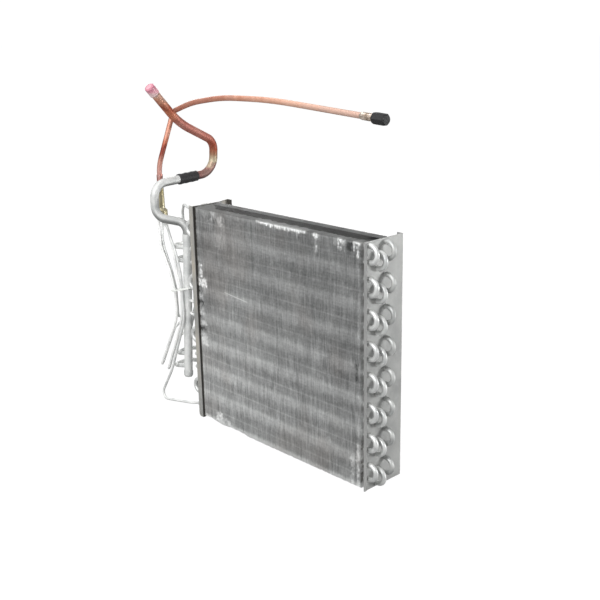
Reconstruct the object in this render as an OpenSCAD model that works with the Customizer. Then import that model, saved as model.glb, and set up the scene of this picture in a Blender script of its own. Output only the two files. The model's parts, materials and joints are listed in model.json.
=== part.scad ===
// Flat slab evaporator coil: fin packs on hairpin tubes between two folded end plates, four refrigerant
// circuits fed by a distributor, and a suction header with its aluminium and copper lines.
// Working frame: X runs from the left end plate to the right one, Y from the front fin face to the
// back, Z up from the plates' bottom edges. Every node is then moved so that the origin is at the middle
// of the foot of the coil. All sizes are in millimetres.

/* [Coil] */
// Distance over the webs of the two end plates
coil_w = 417.4; // [250:0.1:700]
// Tubes in each row, four circuits of an even number of tubes
tubes_per_row = 16; // [16:8:24]
// Height between two tubes of a row
tube_pitch = 25.4; // [24:0.1:28]
// Depth between two rows
row_pitch = 19.05; // [17:0.05:22]
// Outer diameter of the coil tubes
tube_d = 7.94; // [6.5:0.01:9]
// Wall of the coil tubes
tube_wall = 0.5; // [0.3:0.1:0.8]
// Straight length of a hairpin outside the right plate, before its bend
hairpin_neck = 4; // [3:0.5:12]
// Length of the belled tube ends outside the left plate
bell_len = 9; // [7:0.5:10]
// Straight length of a return bend outside the left plate
bend_neck = 18; // [15:0.5:19]

/* [Fins] */
// Space between the left web and the first fin
fin_gap_left = 3; // [2:0.5:8]
// Space between the last fin and the right web
fin_gap_right = 6; // [2:0.5:10]
// Fins stop this far short of the plates' top and bottom edges
fin_short = 0.8; // [0.5:0.1:1.5]
// Number of fins in a pack
fin_count = 110; // [40:1:118]
// Thickness of the edge of a fin
fin_edge = 1.7; // [1:0.1:2]
// Depth of the open gaps between the fins, from the front and the back
fin_gap_depth = 4.5; // [2:0.1:5]
// Depth of the open gaps between the fins, from the top and the bottom
fin_gap_top = 1; // [0.5:0.1:1.2]

/* [End plates] */
// Thickness of the sheet
plate_t = 1.2; // [0.8:0.1:2]
// Depth of a plate, front to back
plate_depth = 87; // [75:0.5:110]
// Width of the left plate's front flange, folded outwards
front_flange_left = 11.5; // [6:0.5:14]
// Width of the right plate's front flange, folded outwards
front_flange_right = 5.5; // [4:0.5:10]
// Width of the rear flanges, folded inwards
rear_flange = 11.5; // [6:0.5:18]
// How far the left plate's rear edge is bent outwards
rear_splay = 8; // [0:0.5:10]
// Length of the corner cut at the foot of each front flange
corner_cut = 4; // [1:0.5:4]

/* [Suction side] */
// Outer diameter of the suction header and the suction lines
suction_d = 15.88; // [12:0.01:17]
// Wall of the header and the suction lines
suction_wall = 1; // [0.8:0.1:1.4]
// Distance of the header's top from the left plate
header_off = 50; // [49:0.5:60]
// Depth of the header's top behind the front face
header_y = 22; // [20:0.5:24]
// How far the header's foot is pushed outwards
header_lean_x = 6; // [0:0.5:9]
// How far the header's foot is pushed forwards
header_lean_y = 10; // [0:0.5:12]
// Reach of the suction stubs from the left plate
stub_reach = 100; // [98:0.5:106]
// Fall of the two upper stubs from the plate to their turn
stub_drop_upper = 8; // [4:0.5:10]
// Fall of the two lower stubs from the plate to their turn
stub_drop_lower = 17; // [10:0.5:20]
// Length of the black sleeve over the joint of the suction lines
sleeve_len = 42; // [30:1:50]
// Wall of the sleeve
sleeve_wall = 2.2; // [1:0.1:3]
// Length of the plastic cap on the end of the suction line
cap_len = 18; // [10:0.5:25]

/* [Liquid side] */
// Outer diameter of the liquid line
liquid_d = 9.52; // [8:0.01:10.5]
// Wall of the liquid line
liquid_wall = 0.8; // [0.6:0.1:1]
// Outer diameter of the feeder tubes
feeder_d = 4.76; // [4:0.01:5]
// Wall of the feeder tubes
feeder_wall = 0.7; // [0.5:0.1:0.8]
// Diameter of the distributor's foot
distributor_d = 22; // [21:0.5:24]
// Height of the distributor's foot
distributor_foot = 14; // [12:0.5:18]
// Height of the distributor's cone above its foot
distributor_cone = 45; // [35:0.5:50]
// Width over the flats of the hexagonal flare cap
flare_cap_af = 16; // [15:0.5:19]
// Length of the flare cap
flare_cap_len = 25; // [18:0.5:30]
// Length of the flare fitting between the liquid line and its cap
flare_fitting_len = 28; // [22:0.5:34]
// Width of the cable tie
tie_width = 3.5; // [2.5:0.1:5]

/* [Hidden] */
$fn = 40;

rows = 3;
circuits = 4;
fit_gap = 0.05;          // radial clearance of a brazed or expanded joint
plate_hole_gap = 0.15;   // radial clearance of a tube in an end plate
pack_gap = 0.1;          // gap between the two fin packs
tube_r = tube_d / 2;
suction_r = suction_d / 2;
liquid_r = liquid_d / 2;
feeder_r = feeder_d / 2;
plate_h = tubes_per_row * tube_pitch;
circuit_tubes = tubes_per_row / circuits;
fin_depth = rows * row_pitch;
fin_h = plate_h - 2 * fin_short;
bend_swell = 0.04;       // a worked bend is a hair fatter than the straights that it joins
bend_lap = 0.6;          // and takes this length of them inside it

// ---- where the tubes are -------------------------------------------------------------------------
// Rows are counted from the front, tubes from the top; the middle row is staggered by half a pitch.
function row_y(row) = (row + 0.5) * row_pitch;
function tube_z(row, k) = plate_h - (k + 0.25 + (row == 1 ? 0.5 : 0)) * tube_pitch;
// Circuits 0 and 2 run downwards from their inlet and circuits 1 and 3 upwards.
function first_tube(c) = c * circuit_tubes;
function last_tube(c) = first_tube(c) + circuit_tubes - 1;
function inlet_tube(c) = c % 2 == 0 ? first_tube(c) : last_tube(c);
function outlet_tube(c) = c % 2 == 0 ? last_tube(c) : first_tube(c);

// ---- bent tube: straights and true round bends through a list of corner points ---------------------
function unit(v) = v / norm(v);
function turn_angle(a, b, c) = acos(max(-1, min(1, unit(b - a) * unit(c - b))));
function is_inner(pts, i) = i > 0 && i < len(pts) - 1;
function corner_trim(pts, radii, i) =
    is_inner(pts, i) ? radii[i - 1] * tan(turn_angle(pts[i - 1], pts[i], pts[i + 1]) / 2) - bend_lap : 0;
// The same route, made longer at both ends, cuts the bore cleanly through the open ends.
function lengthened(pts, by) = let (last = len(pts) - 1) [
    for (i = [0:last])
        i == 0 ? pts[0] - by * unit(pts[1] - pts[0]) :
        i == last ? pts[last] + by * unit(pts[last] - pts[last - 1]) : pts[i]
];

module place(origin, x, y, z) {
    multmatrix([
        [x[0], y[0], z[0], origin[0]],
        [x[1], y[1], z[1], origin[1]],
        [x[2], y[2], z[2], origin[2]],
        [0, 0, 0, 1]
    ]) children();
}

// Stands its children on p with their Z axis pointing to q.
module aim(p, q) {
    z = unit(q - p);
    x = unit(cross(abs(z[2]) < 0.9 ? [0, 0, 1] : [0, 1, 0], z));
    place(p, x, cross(z, x), z) children();
}

module straight(p, q, r) {
    aim(p, q) cylinder(h = norm(q - p), r = r);
}

module elbow(a, b, c, bend_r, r) {
    d1 = unit(b - a);
    d2 = unit(c - b);
    angle = turn_angle(a, b, c);
    inward = unit(d2 - (d2 * d1) * d1);
    start = b - bend_r * tan(angle / 2) * d1;
    place(start + bend_r * inward, -inward, d1, cross(-inward, d1))
        rotate_extrude(angle = angle, $fn = max(40, bend_r)) translate([bend_r, 0]) circle(r);
}

module bent_rod(pts, radii, r) {
    last = len(pts) - 1;
    for (i = [0:last - 1]) {
        d = unit(pts[i + 1] - pts[i]);
        straight(pts[i] + corner_trim(pts, radii, i) * d, pts[i + 1] - corner_trim(pts, radii, i + 1) * d, r);
    }
    for (i = [1:last - 1]) elbow(pts[i - 1], pts[i], pts[i + 1], radii[i - 1], r + bend_swell);
}

module bent_tube(pts, radii, r, wall) {
    difference() {
        bent_rod(pts, radii, r);
        bent_rod(lengthened(pts, 1), radii, r - wall);
    }
}

module in_row_frame() {
    translate([-coil_w / 2, -plate_depth / 2, 0]) children();
}

// ---- end plates -----------------------------------------------------------------------------------
// Section of a folded sheet: strips along its middle line, with round folds between them.
module sheet_section(pts) {
    for (i = [0:len(pts) - 2]) {
        d = pts[i + 1] - pts[i];
        translate(pts[i]) rotate(atan2(d[1], d[0])) translate([0, -plate_t / 2]) square([norm(d), plate_t]);
        translate(pts[i + 1]) circle(d = plate_t);
    }
    translate(pts[0]) circle(d = plate_t);
}

module plate_holes() {
    for (row = [0:rows - 1]) for (k = [0:tubes_per_row - 1])
        translate([-1, row_y(row), tube_z(row, k)]) rotate([0, 90, 0])
            cylinder(h = plate_t + 2, r = tube_r + plate_hole_gap);
}

// Slanting cut across the lower outer corner of a front flange.
module flange_corner(x, side) {
    translate([x, -1, 0]) rotate([0, side * 45, 0])
        cube([2 * corner_cut, 4 + plate_t, corner_cut * sqrt(2)], true);
}

splay_from = fin_depth + 4;
mid = plate_t / 2;

module end_plate_left() {
    color([0.78, 0.77, 0.74]) in_row_frame() difference() {
        linear_extrude(plate_h) sheet_section([
            [-front_flange_left + mid, mid], [mid, mid], [mid, splay_from],
            [mid - rear_splay, plate_depth - mid], [mid - rear_splay + rear_flange, plate_depth - mid]
        ]);
        plate_holes();
        flange_corner(-front_flange_left, 1);
    }
}

module end_plate_right() {
    color([0.71, 0.71, 0.7]) in_row_frame() difference() {
        linear_extrude(plate_h) sheet_section([
            [coil_w + front_flange_right - mid, mid], [coil_w - mid, mid],
            [coil_w - mid, plate_depth - mid], [coil_w - rear_flange, plate_depth - mid]
        ]);
        translate([coil_w - plate_t, 0, 0]) plate_holes();
        flange_corner(coil_w + front_flange_right, -1);
    }
}

// ---- fin packs ------------------------------------------------------------------------------------
// One pack: a block that is ribbed into fins round its open sides, bored for its tubes.
module fin_pack(first_row, last_row, y0, y1, open_front, open_back) {
    x0 = fin_gap_left;
    length = coil_w - fin_gap_left - fin_gap_right;
    pitch = (length - fin_edge) / (fin_count - 1);
    core_y0 = y0 + (open_front ? fin_gap_depth : -1);
    core_y1 = y1 - (open_back ? fin_gap_depth : -1);
    difference() {
        translate([x0, y0, fin_short]) cube([length, y1 - y0, fin_h]);
        for (i = [0:fin_count - 2]) translate([x0 + fin_edge + i * pitch, 0, 0]) difference() {
            translate([0, y0 - 1, 0]) cube([pitch - fin_edge, y1 - y0 + 2, plate_h]);
            translate([-1, core_y0, fin_short + fin_gap_top])
                cube([pitch + 2, core_y1 - core_y0, fin_h - 2 * fin_gap_top]);
        }
        for (row = [first_row:last_row]) for (k = [0:tubes_per_row - 1])
            translate([x0 - 1, row_y(row), tube_z(row, k)]) rotate([0, 90, 0])
                cylinder(h = length + 2, r = tube_r + fit_gap);
    }
}

module fin_pack_front() {
    color([0.56, 0.57, 0.57]) in_row_frame() fin_pack(0, 1, 0, 2 * row_pitch, true, false);
}

module fin_pack_rear() {
    color([0.66, 0.67, 0.67]) in_row_frame() fin_pack(2, 2, 2 * row_pitch + pack_gap, fin_depth, false, true);
}

// ---- coil tubes -----------------------------------------------------------------------------------
// Half turn in the X-Z or Y-Z plane that joins two tubes, seen from its middle.
module half_turn(bend_r, r) {
    rotate([90, 0, 0]) rotate([0, 0, -90]) rotate_extrude(angle = 180) translate([bend_r, 0]) circle(r);
}

// A U of two legs along X and a half turn beyond x1; the legs start at x0.
module u_bar(x0, x1, bend_r, r) {
    for (side = [-1, 1]) translate([x0, 0, side * bend_r]) rotate([0, 90, 0]) cylinder(h = x1 - x0, r = r);
    translate([x1, 0, 0]) half_turn(bend_r, r);
}

// A hairpin lies with its bend beyond the right plate and its two belled ends beyond the left one.
bell_seat = 2.2;        // the wide bore of a bell ends this far outside the left plate
seat_gap = 0.1;         // and the tube in it ends this far short of its seat
module hairpin() {
    bend_r = tube_pitch / 2;
    shoulder = 1;
    difference() {
        union() {
            u_bar(-bell_len, coil_w + hairpin_neck, bend_r, tube_r);
            for (side = [-1, 1]) translate([-bell_len, 0, side * bend_r]) rotate([0, 90, 0])
                cylinder(h = bell_len - shoulder, r = tube_r + tube_wall + fit_gap);
        }
        u_bar(-bell_len - 1, coil_w + hairpin_neck, bend_r, tube_r - tube_wall);
        for (side = [-1, 1]) translate([-bell_len - 1, 0, side * bend_r]) rotate([0, 90, 0])
            cylinder(h = bell_len + 1 - bell_seat, r = tube_r + fit_gap);
    }
}

module hairpin_row(row) {
    color([0.8, 0.81, 0.81]) in_row_frame() for (k = [0:2:tubes_per_row - 1])
        translate([0, row_y(row), tube_z(row, k) - tube_pitch / 2]) hairpin();
}

module hairpins_front() { hairpin_row(0); }
module hairpins_middle() { hairpin_row(1); }
module hairpins_rear() { hairpin_row(2); }

// A return bend sits in two bells at the left and joins one hairpin to the next.
module return_bend(bend_r) {
    mirror([1, 0, 0]) difference() {
        u_bar(bell_seat + seat_gap, bend_neck, bend_r, tube_r);
        u_bar(bell_seat - 1, bend_neck, bend_r, tube_r - tube_wall);
    }
}

module return_bend_row(row) {
    color([0.82, 0.83, 0.83]) in_row_frame()
        for (c = [0:circuits - 1]) for (j = [1:2:circuit_tubes - 3])
            translate([0, row_y(row), tube_z(row, first_tube(c) + j) - tube_pitch / 2])
                return_bend(tube_pitch / 2);
}

module return_bends_front() { return_bend_row(0); }
module return_bends_middle() { return_bend_row(1); }
module return_bends_rear() { return_bend_row(2); }

// A crossover joins two rows, from the tube at p to the tube at q of the left plate.
module crossover(p, q) {
    d = q - p;
    translate((p + q) / 2) rotate([atan2(d[2], d[1]) - 90, 0, 0]) return_bend(norm(d) / 2);
}

module crossover_bends_front() {
    color([0.82, 0.83, 0.83]) in_row_frame() for (c = [0:circuits - 1]) let (k = outlet_tube(c))
        crossover([0, row_y(0), tube_z(0, k)], [0, row_y(1), tube_z(1, k)]);
}

module crossover_bends_rear() {
    color([0.82, 0.83, 0.83]) in_row_frame() for (c = [0:circuits - 1]) let (k = inlet_tube(c))
        crossover([0, row_y(1), tube_z(1, k)], [0, row_y(2), tube_z(2, k)]);
}

// A swaged reducer sits in the bell of each inlet tube and takes the end of a feeder.
reducer_len = 24;       // from the web to its outer end
module inlet_reducers() {
    bore = feeder_r + fit_gap;
    start = bell_seat + seat_gap;
    color([0.78, 0.79, 0.79]) in_row_frame() for (c = [0:circuits - 1])
        translate([-start, row_y(0), tube_z(0, inlet_tube(c))]) rotate([0, -90, 0]) rotate_extrude() polygon([
            [bore, 0], [tube_r, 0], [tube_r, bell_len], [bore + 0.8, bell_len + 4],
            [bore + 0.8, reducer_len - start], [bore, reducer_len - start]
        ]);
}

// ---- suction side ---------------------------------------------------------------------------------
stub_bend_x = -20;              // the stubs leave the plate straight as far as here
stub_trim = [0, -6, -4, 6];      // each hook is bent by hand, a little shorter or longer
hook_fall = 2;                  // fall of a hook across its turn
header_foot_below = 16;         // the header ends this far below the entry of its lowest stub
header_cap_skirt = 6.5;
header_bell = 14;
header_top_above = 21;          // and this far above its highest stub's tube

function stub_drop(c) = c < 2 ? stub_drop_upper : stub_drop_lower;
function stub_turn_x(c) = -stub_reach - stub_trim[c];
// The fall is even over the rear leg, and the front leg climbs back at the same slope.
function stub_slope(c) = stub_drop(c) / (stub_reach + stub_bend_x);
function stub_entry_z(c) = tube_z(2, outlet_tube(c)) - hook_fall - stub_slope(c) * (header_off + stub_bend_x);

header_top = [-header_off, header_y, tube_z(2, outlet_tube(0)) + header_top_above];
header_foot = [
    -header_off - header_lean_x, header_y - header_lean_y, stub_entry_z(circuits - 1) - header_foot_below
];
header_axis = unit(header_top - header_foot);
// Point of the header's axis at height z
function header_at(z) = header_foot + header_axis * (z - header_foot[2]) / header_axis[2];

// From the coil tube the stub passes behind the header, turns round and comes back into its far side.
function stub_route(c) = let (
    x = stub_turn_x(c), y = row_y(2), z = tube_z(2, outlet_tube(c)), axis = header_at(stub_entry_z(c)),
    turn_z = z - stub_slope(c) * (stub_bend_x - x), end_x = axis[0] - suction_r + suction_wall + 1,
    end_z = turn_z - hook_fall + stub_slope(c) * (end_x - x)
) [
    [-bell_seat - seat_gap, y, z], [stub_bend_x, y, z], [x, y, turn_z], [x, axis[1], turn_z - hook_fall],
    [end_x, axis[1], end_z]
];
function stub_turn_r(c) = (row_y(2) - stub_route(c)[3][1]) / 2 - 1;
function stub_radii(c) = [30, stub_turn_r(c), stub_turn_r(c)];

module suction_stub(c) {
    color([0.8, 0.81, 0.8]) in_row_frame() bent_tube(stub_route(c), stub_radii(c), tube_r, tube_wall);
}

module suction_stub_1() { suction_stub(0); }
module suction_stub_2() { suction_stub(1); }
module suction_stub_3() { suction_stub(2); }
module suction_stub_4() { suction_stub(3); }

module suction_header() {
    bell_foot = header_top - header_bell * header_axis;
    color([0.8, 0.81, 0.8]) in_row_frame() difference() {
        union() {
            straight(header_foot, header_top, suction_r);
            straight(bell_foot, header_top, suction_r + suction_wall + fit_gap);
        }
        straight(header_foot - header_axis, header_top + header_axis, suction_r - suction_wall);
        straight(bell_foot + header_axis, header_top + header_axis, suction_r + fit_gap);
        for (c = [0:circuits - 1]) let (route = stub_route(c), d = unit(route[4] - route[3]))
            straight(route[4] - 8 * d, route[4] + 2 * d, tube_r + fit_gap);
    }
}

// Spun cap over the foot of the header: a short skirt and a domed end.
module header_end_cap() {
    inner = suction_r + fit_gap;
    outer = inner + 0.8;
    dome = 5.5;
    color([0.76, 0.77, 0.76]) in_row_frame() aim(header_foot - 0.3 * header_axis, header_top) difference() {
        union() {
            cylinder(h = header_cap_skirt, r = outer);
            intersection() {
                sphere(r = outer);
                translate([0, 0, -dome]) cylinder(h = dome + 0.5, r = outer + 1);
            }
        }
        cylinder(h = header_cap_skirt + 1, r = inner);
    }
}

// Corner points of the aluminium pipe, from the header's bell to the sleeve.
joint_y = 74;
pipe_x = -112;
pipe_elbow_z = plate_h - 34.5;
pipe_rise = 20.5;       // the pipe runs on along the header's axis as far as this above its top
sleeve_z = plate_h + 29;
sleeve_slope = 0.045;
joint_gap = 0.3;        // between the ends of the two pipes, inside the sleeve
joint_point = [pipe_x + 1, joint_y, sleeve_z + 1.2];
sleeve_dir = unit([0, 1, sleeve_slope]);
pipe_route = [
    header_top - (header_bell - 1.3) * header_axis, header_top + pipe_rise * header_axis,
    [pipe_x, -4, pipe_elbow_z],
    joint_point - (joint_y + 3) * sleeve_dir, joint_point - joint_gap / 2 * sleeve_dir
];
pipe_radii = [19, 24, 27];

module suction_pipe() {
    color([0.81, 0.82, 0.81]) in_row_frame() bent_tube(pipe_route, pipe_radii, suction_r, suction_wall);
}

// Corner points of the copper line: up behind the coil, then forwards and up to the capped end.
line_route = [
    joint_point + joint_gap / 2 * sleeve_dir, joint_point + 62.5 * sleeve_dir,
    [pipe_x + 6, 136.5, plate_h + 93.5], [pipe_x + 13, 51.5, plate_h + 136], [pipe_x + 19, -12, plate_h + 204]
];
line_radii = [32, 28, 160];
line_end = line_route[4];

module suction_line() {
    color([0.77, 0.47, 0.37]) in_row_frame() bent_tube(line_route, line_radii, suction_r, suction_wall);
}

// Heat-shrink sleeve: a soft skin that follows the ends of both pipes in three low waves.
module joint_sleeve() {
    inner = suction_r + bend_swell + fit_gap;
    outer = inner + sleeve_wall;
    start = joint_point - sleeve_len / 2 * sleeve_dir;
    color([0.22, 0.22, 0.23]) in_row_frame() aim(start, joint_point) rotate_extrude() polygon(concat(
        [[inner, 0]],
        [for (i = [0:12]) [outer - 0.35 + 0.35 * sin(i * 90), i * sleeve_len / 12]],
        [[inner, sleeve_len]]
    ));
}

// Push-on plastic cap that keeps the line's end clean.
module suction_line_cap() {
    inner = suction_r + fit_gap;
    outer = inner + 1.3;
    along = unit(line_end - line_route[3]);
    floor_t = 1.4;
    brow = 2;       // radius of the cap's rounded edge
    color([0.98, 0.66, 0.71]) in_row_frame()
        aim(line_end - (cap_len - floor_t) * along, line_end) difference() {
            union() {
                cylinder(h = cap_len - brow, r = outer);
                cylinder(h = cap_len, r = outer - brow);
                translate([0, 0, cap_len - brow]) rotate_extrude() translate([outer - brow, 0]) circle(brow);
            }
            translate([0, 0, -1]) cylinder(h = cap_len - floor_t + 1.1, r = inner);
        }
}

// ---- liquid side ----------------------------------------------------------------------------------
distributor_axis = [-133, 26];
distributor_z = plate_h - 41;
spigot_z = distributor_z + distributor_foot + distributor_cone;
spigot_len = 14;
spigot_top = spigot_z + spigot_len;
feeder_circle_r = 7;
feeder_depth = 12;

module distributor() {
    foot_r = distributor_d / 2;
    shoulder_z = distributor_foot + 3;
    cone_z = distributor_foot + distributor_cone;
    top_z = cone_z + spigot_len;
    color([0.75, 0.71, 0.55]) in_row_frame()
        translate([distributor_axis[0], distributor_axis[1], distributor_z]) difference() {
            rotate_extrude() polygon([
                [0, 0], [foot_r - 1, 0], [foot_r, 1], [foot_r, distributor_foot - 1],
                [foot_r - 1, distributor_foot], [liquid_r + 2, shoulder_z], [liquid_r + 1, cone_z],
                [liquid_r, cone_z], [liquid_r, top_z], [0, top_z]
            ]);
            translate([0, 0, shoulder_z]) cylinder(h = top_z, r = liquid_r - liquid_wall);
            for (a = [45:90:315]) rotate(a) translate([feeder_circle_r, 0, -1])
                cylinder(h = feeder_depth + 1, r = feeder_r + fit_gap);
        }
}

// Braze socket that joins the distributor's spigot to the liquid line.
socket_len = 22;
module liquid_line_socket() {
    inner = liquid_r + fit_gap;
    color([0.83, 0.6, 0.56]) in_row_frame()
        translate([distributor_axis[0], distributor_axis[1], spigot_z + 0.2]) difference() {
            cylinder(h = socket_len, r = inner + 1);
            translate([0, 0, -1]) cylinder(h = socket_len + 2, r = inner);
        }
}

liquid_end = [coil_w - 21, 22, plate_h + 180];
liquid_route = [
    [distributor_axis[0], distributor_axis[1], spigot_top + 0.2],
    [distributor_axis[0], distributor_axis[1], spigot_z + 38],
    [-120, 56, plate_h + 155], [-60, 54, plate_h + 174], [40, 45, plate_h + 188.5],
    [coil_w * 0.43, 33, plate_h + 192], liquid_end
];
liquid_radii = [90, 14, 320, 700, 1300];

module liquid_line() {
    color([0.76, 0.48, 0.36]) in_row_frame() bent_tube(liquid_route, liquid_radii, liquid_r, liquid_wall);
}

// Turns its children so that Z runs along the free end of the liquid line, from a distance past its end.
module on_liquid_end(past) {
    along = unit(liquid_end - liquid_route[5]);
    in_row_frame() aim(liquid_end + past * along, liquid_end + (past + 10) * along) children();
}

// Slim sleeve nut behind the flare, tapered on the side of the line.
flare_nut_len = 9;
flare_nut_lap = 6;      // this much of it lies on the line
flare_r = liquid_r + 1.1;
module flare_nut() {
    color([0.72, 0.7, 0.62]) on_liquid_end(-flare_nut_lap) difference() {
        union() {
            cylinder(h = 3.5, r1 = liquid_r + 0.5, r2 = flare_r);
            translate([0, 0, 3.5]) cylinder(h = flare_nut_len - 3.5, r = flare_r);
        }
        translate([0, 0, -1]) cylinder(h = flare_nut_len + 2, r = liquid_r + fit_gap);
    }
}

// Ringed flare fitting: the part beyond the last ring goes up inside the cap.
flare_union_start = flare_nut_len - flare_nut_lap + 0.1;
flare_cap_start = 20.6;
module flare_union() {
    ring_pitch = 3;
    shank = flare_cap_start - flare_union_start;
    color([0.8, 0.79, 0.72]) on_liquid_end(flare_union_start) difference() {
        cylinder(h = flare_fitting_len - flare_union_start, r = flare_r);
        for (z = [ring_pitch:ring_pitch:shank - 1]) translate([0, 0, z]) difference() {
            cylinder(h = 1, r = flare_r + 1);
            translate([0, 0, -1]) cylinder(h = 3, r = flare_r - 0.5);
        }
        translate([0, 0, -1]) cylinder(h = flare_fitting_len, r = liquid_r - liquid_wall);
    }
}

module flare_cap() {
    across = flare_cap_af / cos(30);
    chamfer = 3;
    color([0.2, 0.2, 0.21]) on_liquid_end(flare_cap_start) difference() {
        intersection() {
            cylinder(h = flare_cap_len, d = across, $fn = 6);
            union() {
                cylinder(h = chamfer, d1 = across - 2, d2 = across);
                translate([0, 0, chamfer]) cylinder(h = flare_cap_len - 2 * chamfer, d = across);
                translate([0, 0, flare_cap_len - chamfer])
                    cylinder(h = chamfer, d1 = across, d2 = across - 5);
            }
        }
        translate([0, 0, -1])
            cylinder(h = flare_fitting_len - flare_cap_start + 1.5, r = flare_r + fit_gap);
    }
}

// ---- feeder tubes ---------------------------------------------------------------------------------
// Two feeders leave each side of the distributor's foot, pass outside the upper hooks and come together
// at the tie in front of the header. Their spare length hangs in tight turns below the tie, and the
// first three then climb behind the header to their inlet tubes.
tie_z = header_top[2] - 104;
loop_z = plate_h - 325;
feeder_x = -12;         // the feeders end this deep in the reducers

function feeder_start(angle, z) = [
    distributor_axis[0] + feeder_circle_r * cos(angle), distributor_axis[1] + feeder_circle_r * sin(angle), z
];
feeder_top = distributor_z + feeder_depth - 0.5;
function inlet_point(c, x) = [x, row_y(0), tube_z(0, inlet_tube(c))];

// Feeder 1 turns back just below the tie, climbs behind the header and bends over into the top tube.
f1_route = [
    feeder_start(135, feeder_top), feeder_start(135, distributor_z - 10), [-133, 23, distributor_z - 48],
    [-92, 13, distributor_z - 100], [-80, 11, tie_z - 4], [-77.5, 11, tie_z - 60],
    [-76.5, 20.5, tie_z - 60], [-64, 33, tie_z - 20], [-64, 33, distributor_z - 32],
    [-71, 30, plate_h - 40], [-69, 28, plate_h - 23], [-42, 12, plate_h - 3], inlet_point(0, -28),
    inlet_point(0, feeder_x)
];
f1_radii = [60, 60, 80, 30, 4.5, 4.5, 50, 90, 55, 14, 12, 8];

// Feeder 2 hangs in the inner loop and comes back to the lower tube of the second circuit.
f2_route = [
    feeder_start(45, feeder_top), feeder_start(45, distributor_z - 8), [-99, 17, distributor_z - 31],
    [-82, 12, distributor_z - 59], [-74, 11, tie_z + 26], [-60.5, 9, tie_z - 4],
    [-60.5, 6.5, tie_z - 62], [-89, -11, loop_z - 3], [-97.5, -3, loop_z - 6], [-78, 8, loop_z + 62],
    [-64, 29, loop_z + 72], [-59, 35, loop_z + 110], [-39.5, 28, loop_z + 134], inlet_point(1, -39),
    inlet_point(1, feeder_x)
];
f2_radii = [12, 55, 55, 70, 20, 110, 5, 5, 22, 20, 30, 14, 10];

// Feeder 3 hangs in the outer loop and comes back to the upper tube of the third circuit.
f3_route = [
    feeder_start(225, feeder_top), feeder_start(225, distributor_z - 18), [-128, 15, distributor_z - 52],
    [-88, 7, distributor_z - 100], [-75.5, 5, tie_z - 6], [-73, 6, tie_z - 57],
    [-106, -14, loop_z + 3], [-114, -6, loop_z], [-89, 14, loop_z + 84], [-68, 44, loop_z + 90],
    [-41.5, 36, loop_z + 110], inlet_point(2, -41.5), inlet_point(2, feeder_x)
];
f3_radii = [65, 70, 80, 20, 90, 5, 5, 26, 20, 15, 12];

// Feeder 4 runs on in front of the header to the foot of the coil and into the lowest front tube.
foot_z = tube_z(0, inlet_tube(3));
f4_route = [
    feeder_start(315, feeder_top), feeder_start(315, distributor_z - 7), [-109, 19, distributor_z - 14],
    [-91, 12, distributor_z - 29], [-69, 7, distributor_z - 56], [-56, 7, tie_z + 26],
    [-55, 7, tie_z - 4], [-49, 4, tie_z - 59], [-79, -9, loop_z - 2], [-102.5, -17.5, foot_z + 11],
    [-94.5, -19, foot_z - 2.5], [-40, 5, foot_z - 3], inlet_point(3, -26), inlet_point(3, feeder_x)
];
f4_radii = [9, 36, 55, 55, 60, 20, 90, 180, 12, 12, 30, 10];

module feeder(route, radii) {
    color([0.79, 0.8, 0.8]) in_row_frame() bent_tube(route, radii, feeder_r, feeder_wall);
}

module feeder_tube_1() { feeder(f1_route, f1_radii); }
module feeder_tube_2() { feeder(f2_route, f2_radii); }
module feeder_tube_3() { feeder(f3_route, f3_radii); }
module feeder_tube_4() { feeder(f4_route, f4_radii); }

// ---- cable tie ------------------------------------------------------------------------------------
// A flat strap round the header and the four feeders, lower on the feeders' side.
tie_tilt = 15;
tie_clear = 0.6;
module tie_outline(grow) {
    hull() {
        header = header_at(tie_z);
        translate([header[0], header[1]]) circle(suction_r + 2 * tie_clear + grow);
        for (p = [f1_route[4], f2_route[5], f3_route[4], f4_route[6]])
            translate([header[0] + (p[0] - header[0]) / cos(tie_tilt), p[1]])
                circle(feeder_r + tie_clear + grow);
    }
}

module cable_tie() {
    header = header_at(tie_z);
    strap = 1.2;
    head = 5;
    side_x = (f3_route[4][0] - header[0]) / cos(tie_tilt) - feeder_r - tie_clear;
    color([0.93, 0.94, 0.92]) in_row_frame()
        translate([header[0], 0, tie_z]) rotate([0, -tie_tilt, 0]) translate([0, 0, -tie_width / 2]) {
            translate([-header[0], 0, 0]) linear_extrude(tie_width) difference() {
                tie_outline(strap);
                tie_outline(0);
            }
            translate([side_x - head / 2 - strap / 2, f3_route[4][1], tie_width / 2]) {
                cube([head, head - 1, tie_width + 1], true);
                translate([-head, 0, 0]) cube([head, strap, tie_width], true);
            }
        }
}

end_plate_left();
end_plate_right();
fin_pack_front();
fin_pack_rear();
hairpins_front();
hairpins_middle();
hairpins_rear();
return_bends_front();
return_bends_middle();
return_bends_rear();
crossover_bends_front();
crossover_bends_rear();
inlet_reducers();
feeder_tube_1();
feeder_tube_2();
feeder_tube_3();
feeder_tube_4();
distributor();
liquid_line_socket();
liquid_line();
flare_nut();
flare_union();
flare_cap();
suction_header();
header_end_cap();
suction_stub_1();
suction_stub_2();
suction_stub_3();
suction_stub_4();
suction_pipe();
joint_sleeve();
suction_line();
suction_line_cap();
cable_tie();
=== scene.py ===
import json
import math

import bmesh
import bpy
from mathutils import Matrix, Vector, noise


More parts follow.
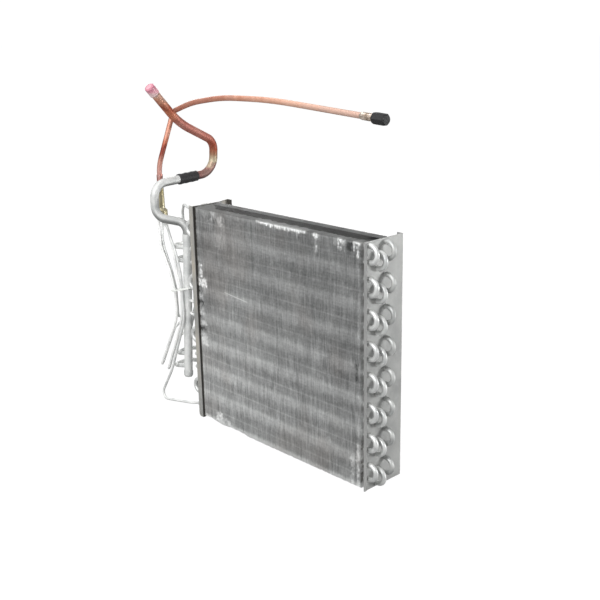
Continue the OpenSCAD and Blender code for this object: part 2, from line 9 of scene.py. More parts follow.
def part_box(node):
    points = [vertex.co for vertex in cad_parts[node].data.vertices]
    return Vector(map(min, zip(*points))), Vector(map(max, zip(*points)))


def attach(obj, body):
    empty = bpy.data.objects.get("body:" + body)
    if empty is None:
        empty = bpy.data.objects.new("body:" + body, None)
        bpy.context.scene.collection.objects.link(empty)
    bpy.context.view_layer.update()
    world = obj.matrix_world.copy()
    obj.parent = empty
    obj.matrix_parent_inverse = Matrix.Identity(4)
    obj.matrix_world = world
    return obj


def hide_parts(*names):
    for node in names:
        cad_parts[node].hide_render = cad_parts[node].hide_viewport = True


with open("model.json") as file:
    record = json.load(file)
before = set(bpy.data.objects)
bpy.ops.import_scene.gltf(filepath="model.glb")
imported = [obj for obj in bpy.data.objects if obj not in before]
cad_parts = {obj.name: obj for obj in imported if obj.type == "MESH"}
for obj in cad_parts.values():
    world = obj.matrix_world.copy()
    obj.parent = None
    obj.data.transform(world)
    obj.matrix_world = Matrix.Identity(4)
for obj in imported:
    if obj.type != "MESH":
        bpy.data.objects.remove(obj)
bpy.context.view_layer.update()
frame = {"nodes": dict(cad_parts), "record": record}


# Studio. A pale floor that fades into a white room, five large soft lamps and a short
# telephoto view of the hairpin end from slightly above.
def linear(red, green, blue):
    """A display colour from 0 to 255 as linear light, with an alpha of 1."""
    parts = [c / 255 for c in (red, green, blue)]
    return (*[p / 12.92 if p <= 0.04045 else ((p + 0.055) / 1.055) ** 2.4 for p in parts], 1.0)


class Amount:
    """One value or colour that varies over a surface. Arithmetic on it adds Math nodes."""

    def __init__(self, finish, socket):
        self.finish, self.socket = finish, socket

    def __add__(self, other):
        return self.finish.math("ADD", self, other)

    def __radd__(self, other):
        return self.finish.math("ADD", other, self)

    def __sub__(self, other):
        return self.finish.math("SUBTRACT", self, other)

    def __rsub__(self, other):
        return self.finish.math("SUBTRACT", other, self)

    def __mul__(self, other):
        return self.finish.math("MULTIPLY", self, other)

    def __rmul__(self, other):
        return self.finish.math("MULTIPLY", other, self)

    def __truediv__(self, other):
        return self.finish.math("DIVIDE", self, other)

    def part(self, axis):
        """X, Y or Z of a place or direction, for an axis of 0, 1 or 2."""
        return self.finish.node("ShaderNodeSeparateXYZ", values={0: self}, output=axis)

    def step(self, start, end):
        """0 below start, 1 above end and smooth between; turned round where end is the smaller."""
        return self.finish.node(
            "ShaderNodeMapRange",
            {"interpolation_type": "SMOOTHSTEP"},
            {"Value": self, "From Min": start, "From Max": end},
        )


class Finish:
    """A procedural material in the making."""

    def __init__(self, name, data=None):
        self.data = data or bpy.data.materials.new(name)
        self.data.use_nodes = True
        self.tree = self.data.node_tree
        self.tree.nodes.clear()

    def node(self, kind, settings=(), values=(), output=0):
        node = self.tree.nodes.new(kind)
        for name, value in dict(settings).items():
            setattr(node, name, value)
        for name, value in dict(values).items():
            if isinstance(value, Amount):
                self.tree.links.new(value.socket, node.inputs[name])
            else:
                node.inputs[name].default_value = value
        return Amount(self, node.outputs[output] if node.outputs else None)

    def math(self, operation, first, second=0.0):
        return self.node("ShaderNodeMath", {"operation": operation}, {0: first, 1: second})

    def blend(self, amount, first, second):
        """The first colour where amount is 0, the second where it is 1."""
        return self.node("ShaderNodeMix", {"data_type": "RGBA"}, {0: amount, 6: first, 7: second}, 2)


def studio_white(finish, shader, strength, output):
    """Seen as nearly plain white, and lit or lighting as shader says for everything else."""
    whiteness = 0.86  # the rest keeps a trace of the room's own tone and of the part's shadow
    white = finish.node("ShaderNodeEmission", values={"Color": (1, 1, 1, 1), "Strength": strength})
    seen = finish.node("ShaderNodeLightPath") * whiteness
    both = finish.node("ShaderNodeMixShader", values={0: seen, 1: shader, 2: white})
    finish.node(output, values={"Surface": both})


scene = bpy.context.scene
scene.view_settings.view_transform = "Standard"
scene.world = bpy.data.worlds.new("white_room")
room = Finish("white_room", scene.world)
height = room.node("ShaderNodeTexCoord", output="Generated").part(2)
sky = room.blend(height.step(-0.2, 0.9), linear(168, 168, 170), linear(255, 255, 255))
ambient = room.node("ShaderNodeBackground", values={"Color": sky, "Strength": 0.55})
studio_white(room, ambient, 1.2, "ShaderNodeOutputWorld")

floor_reach, floor_drop = 30, 0.0006
shell = bmesh.new()
bmesh.ops.create_grid(shell, x_segments=1, y_segments=1, size=floor_reach)
bmesh.ops.translate(shell, verts=shell.verts, vec=(0, 0, -floor_drop))
floor_mesh = bpy.data.meshes.new("floor")
shell.to_mesh(floor_mesh)
shell.free()
floor = bpy.data.objects.new("floor", floor_mesh)
scene.collection.objects.link(floor)
paper = Finish("pale_paper")
matt = paper.node("ShaderNodeBsdfDiffuse", values={"Color": linear(176, 176, 176), "Roughness": 0.9})
studio_white(paper, matt, 1.14, "ShaderNodeOutputMaterial")
floor_mesh.materials.append(paper.data)


def soft_lamp(name, place, target, size, power):
    lamp = bpy.data.lights.new(name, "AREA")
    lamp.shape, lamp.size, lamp.energy = "SQUARE", size, power
    holder = bpy.data.objects.new(name, lamp)
    holder.location = place
    holder.rotation_mode = "QUATERNION"
    holder.rotation_quaternion = (Vector(target) - Vector(place)).to_track_quat("-Z", "Y")
    scene.collection.objects.link(holder)


soft_lamp("key_lamp", (0.75, -1.95, 1.45), (0, 0, 0.25), 0.55, 40)
soft_lamp("lamp_above", (-0.3, -0.2, 1.9), (0, 0, 0.25), 1.3, 12)
soft_lamp("side_lamp", (2.5, 1.95, 0.3), (0.2, 0, 0.1), 0.75, 42)
soft_lamp("rear_lamp", (-1.9, 1.2, 1.0), (-0.1, 0, 0.25), 0.9, 14)
soft_lamp("left_lamp", (-0.75, -1.8, 1.1), (-0.28, 0, 0.3), 0.9, 6)

camera_data = bpy.data.cameras.new("camera")
camera_data.lens, camera_data.sensor_width = 56.44, 36.0
camera = bpy.data.objects.new("camera", camera_data)
across = Vector((0.68509, 0.72823, -0.01836)).normalized()
ahead = Vector((-0.70109, 0.65229, -0.28808)).normalized()
upward = across.cross(ahead).normalized()
turn = Matrix((across, upward, -ahead)).transposed()
camera.rotation_mode = "QUATERNION"
camera.rotation_quaternion = turn.to_quaternion()
camera.location = (1.12798, -1.02997, 0.72517)
scene.collection.objects.link(camera)
scene.camera = camera


# End plates. Two sheets of galvanised steel, punched with a collar hole for every tube and
# folded at the front and rear edges; the tubes are expanded into them. The zinc has dulled
# unevenly, and the left plate's front fold has a tan film of dirt.
def grain(finish, place, stretch, detail=2.0):
    """Noise from 0 to 1, with stretch as its cells per metre along X, Y and Z."""
    scaled = finish.node("ShaderNodeVectorMath", {"operation": "MULTIPLY"}, {0: place, 1: stretch})
    return finish.node(
        "ShaderNodeTexNoise",
        values={"Vector": scaled, "Scale": 1.0, "Detail": detail, "Roughness": 0.5},
    )


def surface(finish, colour, roughness, relief=None, depth=0.0, **fixed):
    """Closes a finish: Principled BSDF with a bump from relief, whose full height is depth metres."""
    values = {"Base Color": colour, "Roughness": roughness}
    values.update({name.replace("_", " "): value for name, value in fixed.items()})
    if relief is not None:
        values["Normal"] = finish.node("ShaderNodeBump", values={"Height": relief, "Distance": depth})
    shader = finish.node("ShaderNodeBsdfPrincipled", values=values)
    finish.node("ShaderNodeOutputMaterial", values={"Surface": shader})
    return finish.data


def dress(node, material):
    for slot in frame["nodes"][node].material_slots:
        slot.material = material


def where(finish):
    return finish.node("ShaderNodeTexCoord", output="Object")


zinc = Finish("galvanised_sheet")
place = where(zinc)
x, y, z = place.part(0), place.part(1), place.part(2)
cloud = grain(zinc, place, (30, 30, 22), 3)
spangle = zinc.node(
    "ShaderNodeTexVoronoi",
    values={"Vector": place, "Scale": 160.0, "Randomness": 1.0},
    output="Color",
).part(0)
rolled = grain(zinc, place, (500, 500, 14), 1)
shade = cloud.step(0.3, 0.7) * 0.55 + spangle * 0.25 + rolled * 0.2
colour = zinc.blend(shade, linear(152, 153, 152), linear(184, 185, 183))

# Tan film on the fold, and on the right plate a paler foot: painted light that lifts the shade the hairpins
# cast there.
plate_low, plate_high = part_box("end_plate_left")
fold_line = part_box("fin_pack_front")[0].x - 0.003
at_left, at_right = x.step(0.0, -0.05), x.step(0.0, 0.05)
flange = x.step(fold_line, fold_line - 0.0012)
colour = zinc.blend(flange * 0.2, colour, linear(208, 206, 198))
film = flange * grain(zinc, place, (50, 50, 12), 3).step(0.36, 0.62)
mid_height = z.step(0.12, 0.2) * z.step(0.33, 0.27)
colour = zinc.blend(film * (0.2 + 0.3 * mid_height), colour, linear(226, 212, 188))
# Painted light: the right plate's foot is lightened where the hairpins shade it.
colour = zinc.blend(z.step(0.09, 0.0) * at_right * 0.5, colour, linear(206, 207, 205))

# Painted shade on the left plate: darker behind the front fold, along the rear one and at the top rim, where
# the fins and folds shade it.
crevice_shade = x.step(fold_line, fold_line + 0.0006) * at_left
crevice_shade = crevice_shade * y.step(plate_low.y + 0.02, plate_low.y + 0.008)
fold_shade = y.step(plate_high.y - 0.002, plate_high.y - 0.0013)
fold_shade = fold_shade * y.step(plate_high.y - 0.0003, plate_high.y - 0.0008)
fold_shade = fold_shade * (0.35 + 0.65 * z.step(plate_high.z - 0.03, plate_high.z - 0.012)) * at_left
rim_shade = z.step(plate_high.z - 0.0012, plate_high.z - 0.0006)
rim_shade = rim_shade * y.step(plate_low.y + 0.018, plate_low.y + 0.024) * at_left
painted_shade = zinc.math("MAXIMUM", crevice_shade + rim_shade * 0.6, fold_shade)
colour = zinc.blend(painted_shade * 0.86, colour, linear(66, 62, 57))
relief = rolled * 0.4 + spangle * 0.3
galvanised = surface(zinc, colour, 0.46 + 0.14 * cloud + 0.06 * spangle, relief, 0.00006, Metallic=0.6)
for node in ("end_plate_left", "end_plate_right"):
    dress(node, galvanised)


# Fins. A front and a rear pack of 226 strips of bare aluminium, 0.14 mm thick, pressed one by one
# over the tubes at fourteen to the inch. Their free edges have been knocked about: every fin
# wanders a little, and where something struck the face they lie folded or gape.
def make(name, mesh, material):
    """Turns a finished bmesh into an object at the origin that rides with the coil."""
    data = bpy.data.meshes.new(name)
    mesh.to_mesh(data)
    mesh.free()
    data.materials.append(material)
    piece = bpy.data.objects.new(name, data)
    scene.collection.objects.link(piece)
    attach(piece, "root")
    return piece


fin_pitch, fin_sheet = 0.00181, 0.00014
face_left = -0.2087  # outer face of the left plate, from which the bruises are measured in mm
# left, right, low, high of each bruise, and how far it is folded over (+) or pushed in (-)
bruises = [
    (172, 214, 402, 409, 1.2), (206, 292, 400.5, 409, 1.3), (309, 319, 400, 408, 1.0),
    (313, 316, 376, 402, 0.8), (360, 374, 401, 408, 0.7), (377, 393, 388, 402, -1.0),
    (361, 365, 385, 402, 0.9), (368, 371, 388, 403, 0.8), (375, 378, 386, 405, 0.8),
    (354, 357, 392, 406, 0.6), (394, 398, 392, 408, 0.9), (402, 406, 383, 408, 1.0),
    (398, 412, 401, 408, 0.8), (11, 19, 274, 303, 1.0), (4, 31, 262, 277, 1.0),
    (3, 16, 249, 262, -0.9), (5, 20, 236, 247, 0.6), (3, 18, 226, 235, -1.0),
    (4, 19, 207, 222, 0.4), (3, 15, 198, 206, -0.6), (3, 27, 187, 197, 0.55),
    (3, 24, 176, 185, -0.9), (5, 26, 150, 174, 0.55), (3, 9, 300, 404, -0.5),
    (42, 60, 9, 24, 0.8), (60, 84, 8, 18, 0.55), (64, 74, 5, 11, -0.7),
    (3, 24, 2, 9, 0.7), (22, 28, 0, 12, -0.8), (387, 396, 0, 56, 0.5),
    (401, 407, 0, 78, 0.6), (397, 405, 183, 217, -0.9), (403, 406.5, 80, 380, 0.3),
    (330, 345, 60, 70, 0.3), (60, 90, 340, 396, 0.22), (18, 48, 330, 372, -0.25),
    (28, 44, 384, 402, 0.3), (52, 66, 392, 404, 0.45), (46, 56, 376, 390, 0.3),
    (70, 86, 384, 400, 0.32),
]


def bruise(x, z, marks):
    """How far the fins are folded, up to 1, or pushed in, down to -1, at a point given in mm."""
    soft_edge = 4
    drip = 4.5 * noise.noise(Vector((x * 0.43, 7.1, z * 0.02)))
    ragged = noise.noise(Vector((x * 0.28, z * 0.24, 3.7)))
    total = 0.0
    for left, right, low, high, amount in marks:
        wide, tall = min(x - left, right - x), min(z - low + drip, high - z + 0.4 * drip)
        inside = min(wide, tall, 0.6 * (wide + tall) - 0.8) + 2.2 * ragged
        total += amount * min(max(0.5 + inside / soft_edge, 0.0), 1.0) * (0.85 + 0.8 * ragged)
    return min(max(total, -1.0), 1.0)


def fin_heights(x, low, high, marks):
    """The heights above low of a fin's rows of points, in metres: close together where a
    bruise crosses the fin. x is in mm, as the bruises are."""
    row_pitch, least_gap = 0.0135, 0.0014
    beside, margin = 2, 3  # how far close rows reach past a bruise, sideways and up or down
    heights = {0.0, high - low}
    heights.update(step * row_pitch for step in range(1, int((high - low) / row_pitch)))
    for left, right, foot, head, _ in marks:
        if left - beside < x < right + beside:
            close_pitch = 2.0 if right - left < 60 else 2.4
            start, reach = foot - margin, head - foot + 2 * margin
            rows = max(round(reach / close_pitch), 2)
            heights.update((start + row * reach / rows) / 1000 - low for row in range(rows + 1))
    heights = sorted(h for h in heights if 0 <= h <= high - low)
    kept = [heights[0]]
    for h in heights[1:-1]:
        if h - kept[-1] > least_gap and high - low - h > least_gap:
            kept.append(h)
    return kept + [heights[-1]]


# distance from the left plate and height of the fins' worn lower edge, both in mm
worn_foot = [
    (0, 3), (12, 5.3), (25, 6.4), (42, 4.2), (57, 2.4), (72, 2.6), (84, 4.6), (111, 4.2),
    (135, 1.8), (200, 1.9), (420, 3.8),
]


def worn_height(across_mm):
    """The height of the fins' foot between the points of worn_foot, in mm."""
    for (start, from_height), (end, to_height) in zip(worn_foot, worn_foot[1:]):
        if start <= across_mm < end:
            return from_height + (to_height - from_height) * (across_mm - start) / (end - start)


def fin_pack(node, columns, free_edge):
    """A pack of fins in the place of a CAD block. columns are the depths of a fin's rows of
    points from its free edge, and free_edge is -1 where that edge is the front one."""
    in_front = free_edge < 0
    marks, looseness = (bruises, 1.0) if in_front else ([], 1.6)
    limp, marked = 0.0026, 0.006  # depths that sway and fold, and that the finish shows as knocked
    fold_over, fold_down, push_in = 0.0016, 0.0007, 0.0016
    low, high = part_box(node)
    edge = low.y if in_front else high.y
    count = round((high.x - low.x) / fin_pitch)
    pack = bmesh.new()
    knock_shading = pack.verts.layers.float.new("knock_shading")
    for i in range(count):
        x = low.x + (i + 0.5) * (high.x - low.x) / count
        across_mm = (x - face_left) * 1000
        foot = worn_height(across_mm) / 1000 + 0.0012 * max(noise.noise(Vector((x * 120, 0, 5))), -0.2)
        head = high.z - 0.0004 * abs(noise.noise(Vector((x * 900, 2, 5))))
        heights = fin_heights(across_mm, foot, head, marks)
        fin = bmesh.ops.create_grid(pack, x_segments=len(columns) - 1, y_segments=len(heights) - 1, size=0.5)
        for vert in fin["verts"]:
            depth = columns[round((vert.co.x + 0.5) * (len(columns) - 1))]
            z = foot + heights[round((vert.co.y + 0.5) * (len(heights) - 1))]
            loose = max(1 - depth / limp, 0.0)
            sway = 0.00016 * noise.noise(Vector((i * 0.83, z * 22, 1.3)))
            sway += 0.00034 * noise.noise(Vector((x * 150, z * 7, 8.1)))
            sway *= looseness
            mark = bruise(across_mm, z * 1000, marks)
            lean = sway - (fold_over if mark > 0 else 0.0) * mark
            back = (fold_down if mark > 0 else push_in) * abs(mark)
            back += 0.00012 * abs(noise.noise(Vector((i * 0.61, z * 60, 4.4))))
            vert.co = (x + lean * loose, edge - free_edge * (depth + back * loose), z)
            # How far the finish paints this point lighter where folded and darker where pushed in: painted
            # light and shade for the knocked edge.
            vert[knock_shading] = (mark + 700 * sway) * max(1 - depth / marked, 0.0)
    return pack


fins = Finish("fin_aluminium")
place = where(fins)
x, y, z = place.part(0), place.part(1), place.part(2)
knock_shading = fins.node("ShaderNodeAttribute", {"attribute_name": "knock_shading"}, output="Fac")

# The face is paler in soft bands at every second tube, a painted highlight where the rippled fin edges would
# catch the light, and towards its foot.
band_pitch, first_band = 0.0508, 0.0035
band = fins.math("FRACT", (z - first_band) / band_pitch)
band_highlight = band.step(0.6, 0.95) + 1 - band.step(0.03, 0.24) + 0.22 * (1 - band.step(0.44, 0.54))
band_highlight = band_highlight + 0.45 * band.step(0.4, 0.43) * (1 - band.step(0.44, 0.48))
low_part = 1 - z.step(0.05, 0.33)
speckle = grain(fins, place, (400, 60, 300), 2)
streak = grain(fins, place, (480, 60, 34), 1)
crossing = grain(fins, place, (26, 26, 330), 2)
blotch = grain(fins, place, (120, 30, 110), 3)
smudge = grain(fins, place, (16, 16, 11), 3)
level = 0.3 + band_highlight * (0.225 + 0.1 * low_part) + 0.19 * low_part
level = level - 0.08 * (z - 0.4 * x).step(0.2, 0.36)
level = level + (speckle - 0.5) * 0.5 + (streak - 0.5) * (0.62 + 0.2 * low_part)
level = level + (crossing - 0.5) * (0.36 - 0.16 * low_part) + (blotch - 0.5) * 0.28
level = level + (smudge - 0.5) * 0.3 - x.step(-0.15, 0.21) * (0.05 + 0.09 * low_part)
# Painted light and shade: folded fins lighter, as their tilted edges would catch the light, and pushed-in
# fins darker, as shade in the gaping slits.
level = level + knock_shading.step(0.0, 1.1) * 0.72 - knock_shading.step(0.0, -1.0) * 0.55

# One long scratch in the left half falls slightly to the right, and the worn foot shines.
scratch_x, scratch_z, scratch_fall = -0.1287, 0.263, 0.094
scratch = fins.math("ABSOLUTE", z - scratch_z + (x - scratch_x) * scratch_fall)
scratched = (1 - scratch.step(0.0006, 0.0014)) * x.step(-0.1295, -0.127) * (1 - x.step(-0.073, -0.063))
level = level + scratched * y.step(-0.03, -0.035) * 0.6 + 0.2 * z.step(0.0115, 0.0075)

# Painted shade for dark slits beside both plates: a solid strip by the left plate, and a broken one by the
# right plate that is darkest near the foot.
fin_low, fin_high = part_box("fin_pack_front")
slit_shade = grain(fins, place, (60, 60, 110), 2).step(0.42, 0.6) * (0.3 + 0.6 * z.step(0.11, 0.06))
slit_shade = slit_shade * x.step(fin_high.x - 0.003, fin_high.x - 0.0012)
slit_shade = x.step(fin_low.x + 0.0046, fin_low.x + 0.0028) * 1.15 + slit_shade
colour = fins.blend(level, linear(150, 151, 151), linear(250, 251, 250))
warm = grain(fins, place, (12, 12, 9), 1).step(0.5, 0.75) * 0.16
colour = fins.blend(warm, colour, linear(176, 160, 150))
colour = fins.blend(slit_shade * 0.8, colour, linear(72, 68, 62))
# Painted shade in the open slits where the fins are pushed in.
colour = fins.blend(knock_shading.step(-0.35, -0.9) * 0.75, colour, linear(84, 84, 82))

# From above, the tops of the fins are darkened with painted shade, as the gaps between them would be. It
# starts behind their rolled front edge and, by the left plate, behind a slanting line; the slit between the
# packs is painted dark too, and the band is darker still near the right plate.
shade_front, corner_line, corner_slope = 0.0295, 0.1405, 0.69
slit_y = -0.0038
tops = z.step(fin_high.z - 0.0017, fin_high.z - 0.0013)
ragged = (grain(fins, place, (110, 110, 110), 3) - 0.5) * 0.016
front_of_shade = fins.math("MAXIMUM", ragged - shade_front, ragged - corner_line - corner_slope * x)
painted_shade = (y - front_of_shade).step(0.0, 0.003)
painted_shade = painted_shade * (1 - (y + ragged * 0.2).step(-0.0055, -0.003))
painted_shade = painted_shade * (1 - (x + ragged * 0.3).step(0.2005, 0.2045))
slit = 1 - fins.math("ABSOLUTE", y - slit_y).step(0.0008, 0.0016)
shade_noise = grain(fins, place, (90, 320, 90), 2)
corner_shade = x.step(0.184, 0.190) * y.step(-0.018, -0.014)
between = painted_shade * (0.68 + 0.3 * (shade_noise - 0.5)) + slit * 0.6 * (1 - painted_shade)
colour = fins.blend(tops * 0.5, colour, linear(96, 96, 95))
colour = fins.blend(tops * between, colour, linear(52, 51, 50))
colour = fins.blend(tops * painted_shade * corner_shade * 0.8, colour, linear(40, 40, 42))
fin_stock = surface(fins, colour, 0.42 + 0.2 * smudge, Metallic=0.25)

front_columns, rear_columns = (0.0, 0.0009, 0.002, 0.0381), (0.0, 0.0016, 0.019)
front_fins = make("fins_front", fin_pack("fin_pack_front", front_columns, -1), fin_stock)
rear_fins = make("fins_rear", fin_pack("fin_pack_rear", rear_columns, 1), fin_stock)
for fin_piece in (front_fins, rear_fins):
    wall = fin_piece.modifiers.new("sheet", "SOLIDIFY")
    wall.thickness, wall.offset = fin_sheet, 0.0
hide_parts("fin_pack_front")
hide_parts("fin_pack_rear")


# Tubes. Hairpins of 8 mm aluminium tube pass through all the fins and turn round outside the
# right plate; at the left their belled mouths take the return bends and crossovers that join
# the tubes into four circuits. Drawn tube, dulled, whitish where the brazing flux dried.
def aluminium(name, dark, light, metallic, roughness, shade_under=0.0):
    """Drawn tube from dark to light, with flux at the bell mouths. The last argument adds painted shade: it
    greys the tube where it faces down, and the low run of the suction pipe, next to the header."""
    tube = Finish(name)
    place = where(tube)
    x, z = place.part(0), place.part(2)
    cloud = grain(tube, place, (55, 55, 55), 3)
    scuff = grain(tube, place, (420, 420, 420), 2)
    drawn = grain(tube, place, (60, 900, 900), 1)
    colour = tube.blend(cloud.step(0.3, 0.72), linear(*dark), linear(*light))
    colour = tube.blend(scuff.step(0.6, 0.78) * 0.3, colour, linear(150, 152, 152))
    bell_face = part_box("hairpins_front")[0].x
    near_bell = x.step(bell_face + 0.004, bell_face)
    flux = near_bell * (1 - x.step(bell_face - 0.002, bell_face - 0.008))
    colour = tube.blend(flux * cloud.step(0.35, 0.6) * 0.5, colour, linear(236, 232, 222))
    # Painted shade: darker where the tube faces down, and along its low run by the header.
    if shade_under:
        facing_up = tube.node("ShaderNodeTexCoord", output="Normal").part(2)
        low_run = z.step(0.392, 0.376)
        low_run_shade = low_run * x.step(-0.326, -0.306)
        underside_shade = tube.math("MAXIMUM", facing_up.step(-0.05, -0.7), facing_up.step(0.45, -0.3) * low_run)
        colour = tube.blend(low_run_shade * 0.5, colour, linear(140, 141, 140))
        colour = tube.blend(underside_shade * shade_under, colour, linear(108, 109, 108))
    relief = drawn * 0.5 + scuff * 0.5
    return surface(tube, colour, roughness + 0.16 * cloud + 0.08 * scuff, relief, 0.00002, Metallic=metallic)


bright_tube = aluminium("tube_bright", (208, 210, 209), (236, 237, 235), 0.58, 0.36)
dull_tube = aluminium("tube_dull", (204, 206, 205), (232, 233, 231), 0.32, 0.46)
# A paler copy: painted light for two feeder loops that the lamps leave darker.
lit_tube = aluminium("tube_lit", (222, 223, 222), (244, 244, 242), 0.2, 0.5)
# A darker copy of the bright tube: painted shade for the rear hairpins.
shaded_tube = aluminium("tube_shaded", (180, 182, 181), (210, 211, 209), 0.6, 0.4)
# A darker copy with painted shade on its underside, for the suction pipe.
underside_shaded_tube = aluminium("tube_underside_shade", (190, 192, 191), (220, 221, 219), 0.35, 0.46, 0.8)
for row in frame["record"]["subparts"]:
    if row["material_slot"] == "tube_aluminium":
        inside = row["node"].startswith(("hairpins", "return", "crossover"))
        dress(row["node"], bright_tube if inside else dull_tube)
dress("suction_pipe", underside_shaded_tube)
for node in ("feeder_tube_2", "feeder_tube_3"):
    dress(node, lit_tube)
dress("hairpins_rear", shaded_tube)


# Braze rings. A bead of filler metal has run round each bell mouth where a bend, reducer or
# suction stub enters it. Slightly lumpy, greyer than the tube, with pale flux on it.
filler = Finish("braze_filler")
place = where(filler)
lumps = grain(filler, place, (700, 700, 700), 2)
flux = grain(filler, place, (260, 260, 260), 3).step(0.45, 0.62)
colour = filler.blend(flux, linear(168, 168, 166), linear(226, 222, 210))
braze = surface(filler, colour, 0.38 + 0.3 * flux, lumps, 0.0003, Metallic=0.7)


def bead(mesh, centre, ring, thick, steps=20, sides=8):
    """A round bead of filler about a tube along X: a ring of circles joined by faces."""
    along = Vector((1, 0, 0))
    angles = [math.tau * side / sides for side in range(sides)]
    circles = []
    for step in range(steps):
        turn = math.tau * (step + 0.5) / steps
        out = Vector((0, math.cos(turn), math.sin(turn)))
        offsets = [out * (ring + thick * math.cos(a)) + along * thick * math.sin(a) for a in angles]
        circles.append([mesh.verts.new(centre + offset) for offset in offsets])
    for circle, following in zip(circles, circles[1:] + circles[:1]):
        for side in range(sides):
            corners = circle[side], circle[side - 1], following[side - 1], following[side]
            mesh.faces.new(corners).smooth = True


tubes_per_row = 16
bead_r, overlap, proud = 0.00055, 0.0002, 0.0001
beads = bmesh.new()
for node in ("hairpins_front", "hairpins_middle", "hairpins_rear"):
    low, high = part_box(node)
    bell_r = (high.y - low.y) / 2
    pitch = (high.z - low.z - 2 * bell_r) / (tubes_per_row - 1)
    for row in range(tubes_per_row):
        mouth = Vector((low.x - proud, low.y + bell_r, low.z + bell_r + row * pitch))
        bead(beads, mouth, bell_r - overlap, bead_r)
make("braze_rings", beads, braze)


# Distributor. A turned brass foot under a slender cone: the copper socket slips over the spigot
# on top, and four feeders are soldered into ports drilled in the foot. Tarnished to a pale straw.
brass = Finish("distributor_brass")
place = where(brass)
tarnish = grain(brass, place, (90, 90, 70), 3)
turned = grain(brass, place, (30, 30, 900), 1)
spots = grain(brass, place, (600, 600, 600), 2)
colour = brass.blend(tarnish.step(0.3, 0.7), linear(214, 206, 178), linear(172, 161, 122))
colour = brass.blend(spots.step(0.6, 0.75) * 0.5, colour, linear(112, 98, 66))
dress("distributor", surface(brass, colour, 0.38 + 0.2 * tarnish, turned, 0.00002, Metallic=0.8))


# Copper lines. Soft copper tube bent by hand: the liquid line of 3/8 inch with its socket, and
# the suction line of 5/8 inch. Bright salmon in places, browned by handling, with dark red
# heat stains.
def stops(finish, amount, colours):
    """A colour that changes with amount through (position, colour) pairs."""
    ramp = finish.node("ShaderNodeValToRGB", values={0: amount})
    points = ramp.socket.node.color_ramp.elements
    while len(points) < len(colours):
        points.new(0.5)
    for point, (position, colour) in zip(points, colours):
        point.position, point.color = position, linear(*colour)
    return ramp


def copper_finish(name, along, colours):
    """Handled copper, whose colours change with the amount that along gives for a place."""
    copper = Finish(name)
    place = where(copper)
    cloud = grain(copper, place, (60, 60, 45), 1)
    film = grain(copper, place, (240, 240, 240), 3)
    soft = grain(copper, place, (24, 24, 24), 2)
    colour = stops(copper, along(copper, place) + (cloud - 0.5) * 0.22, colours)
    colour = copper.blend(film.step(0.45, 0.8) * 0.12, colour, linear(168, 112, 92))
    colour = copper.blend(soft.step(0.5, 0.72) * 0.22, colour, linear(232, 196, 180))
    return surface(copper, colour, 0.46 + 0.12 * cloud + 0.04 * film, soft, 0.00002, Metallic=0.55)


line_low, line_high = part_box("suction_line")


def up_the_suction_line(finish, place):
    return (place.part(2) - line_low.z) / (line_high.z - line_low.z)


# The pale olive stop at 0.18 is a painted highlight on the lower bend.
dress("suction_line", copper_finish("copper_suction_line", up_the_suction_line, [
    (0.06, (98, 70, 70)), (0.12, (144, 104, 98)), (0.18, (204, 194, 166)), (0.25, (168, 130, 104)),
    (0.34, (156, 72, 46)), (0.43, (188, 120, 106)), (0.58, (184, 120, 108)), (0.65, (164, 90, 76)),
    (0.71, (194, 120, 90)), (0.77, (152, 80, 58)), (0.85, (212, 156, 130)), (0.93, (234, 212, 200)),
]))


def up_and_along_the_liquid_line(finish, place):
    """0 to 0.6 up the leg, then to 1 along the line to its flare."""
    leg_foot, leg_rise = 0.44, 0.12
    run_start, run_length = -0.25, 0.44
    up = (place.part(2) - leg_foot) / leg_rise
    along = (place.part(0) - run_start) / run_length
    return finish.math("MINIMUM", up * 0.6, 0.6) + finish.math("MAXIMUM", along * 0.4, 0.0)


dress("liquid_line", copper_finish("copper_liquid_line", up_and_along_the_liquid_line, [
    (0.05, (196, 148, 138)), (0.16, (186, 136, 120)), (0.27, (128, 52, 38)), (0.33, (176, 100, 76)),
    (0.42, (208, 150, 128)), (0.55, (196, 140, 120)), (0.64, (188, 128, 108)), (0.74, (210, 152, 126)),
    (0.84, (222, 178, 156)), (0.95, (208, 174, 158)),
]))

socket = Finish("copper_socket")
place = where(socket)
heat = grain(socket, place, (160, 160, 110), 3)
colour = socket.blend(heat.step(0.3, 0.7), linear(232, 192, 186), linear(184, 120, 108))
dress("liquid_line_socket", surface(socket, colour, 0.3 + 0.2 * heat, heat, 0.00006, Metallic=0.9))


# Flare fitting. A nut and a union of plated brass on the end of the liquid line. The plating
# has yellowed and browned in places.
fitting = Finish("fitting_brass")
place = where(fitting)
tarnish = grain(fitting, place, (120, 120, 120), 3)
colour = fitting.blend(tarnish.step(0.35, 0.7), linear(240, 224, 210), linear(176, 158, 140))
plated = surface(fitting, colour, 0.22 + 0.2 * tarnish, tarnish, 0.00005, Metallic=0.92)
for node in ("flare_nut", "flare_union"):
    dress(node, plated)


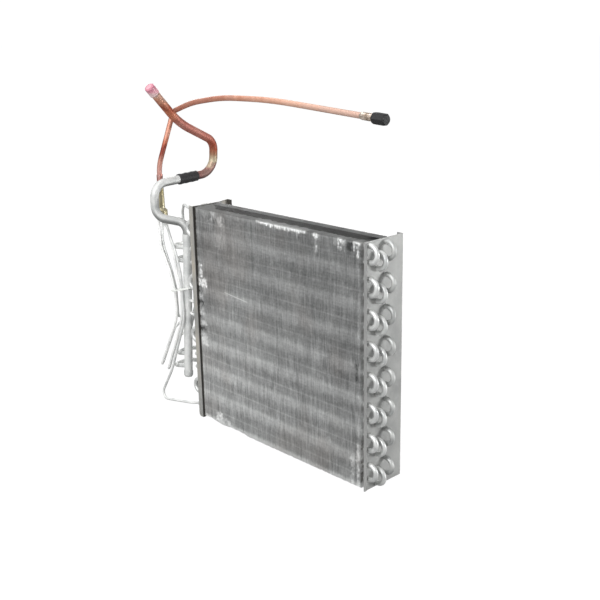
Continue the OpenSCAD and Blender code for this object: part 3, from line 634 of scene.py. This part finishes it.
# Closures and tie. A black sleeve shrunk over the joint of aluminium and copper, a black
# moulded cap on the flare fitting, a soft pink vinyl cap pushed over the suction line, and a
# white nylon tie round the feeders and the header.
shrunk = Finish("sleeve_black")
place = where(shrunk)
ripple = grain(shrunk, place, (260, 60, 260), 2)
pores = grain(shrunk, place, (1500, 1500, 1500), 1)
colour = shrunk.blend(ripple, linear(24, 24, 26), linear(44, 44, 46))
relief = ripple * 0.8 + pores * 0.2
dress("joint_sleeve", surface(shrunk, colour, 0.5 + 0.2 * pores, relief, 0.0003, Metallic=0.0))

black = Finish("cap_black")
place = where(black)
pores = grain(black, place, (900, 900, 900), 2)
colour = black.blend(pores, linear(16, 16, 18), linear(32, 32, 34))
dress("flare_cap", surface(black, colour, 0.5 + 0.2 * pores, pores, 0.00006, Metallic=0.0))

# The vinyl is paler at its open mouth, and darker in a ring round its closed end.
pink = Finish("cap_pink")
place = where(pink)
thick = grain(pink, place, (120, 120, 120), 3)
colour = pink.blend(thick.step(0.3, 0.7), linear(238, 178, 188), linear(214, 148, 162))
cap_low, cap_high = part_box("suction_line_cap")
cap_axis, half_length = Vector((0.064, -0.681, 0.729)), 0.0085
closed_end = (cap_low + cap_high) / 2 + half_length * cap_axis
radius = pink.node("ShaderNodeVectorMath", {"operation": "DISTANCE"}, {0: place, 1: closed_end}, "Value")
ring = radius.step(0.0045, 0.0068) * radius.step(0.0125, 0.0095)
up = (place.part(2) - cap_low.z) / (cap_high.z - cap_low.z)
colour = pink.blend(ring * 0.7, colour, linear(178, 102, 124))
colour = pink.blend(up.step(0.42, 0.2) * 0.85, colour, linear(214, 190, 188))
vinyl = surface(pink, colour, 0.26 + 0.14 * thick, thick, 0.0001, Metallic=0.0, Coat_Weight=0.2)
dress("suction_line_cap", vinyl)

nylon = Finish("tie_white")
place = where(nylon)
tooth_turns = 6000  # radians per metre: a tooth every 1.05 mm
milky = grain(nylon, place, (200, 200, 200), 2)
teeth = nylon.math("SINE", place.part(0) * tooth_turns)
colour = nylon.blend(milky, linear(232, 234, 230), linear(246, 247, 244))
dress("cable_tie", surface(nylon, colour, 0.4 + 0.1 * milky, teeth, 0.00008, Metallic=0.0))
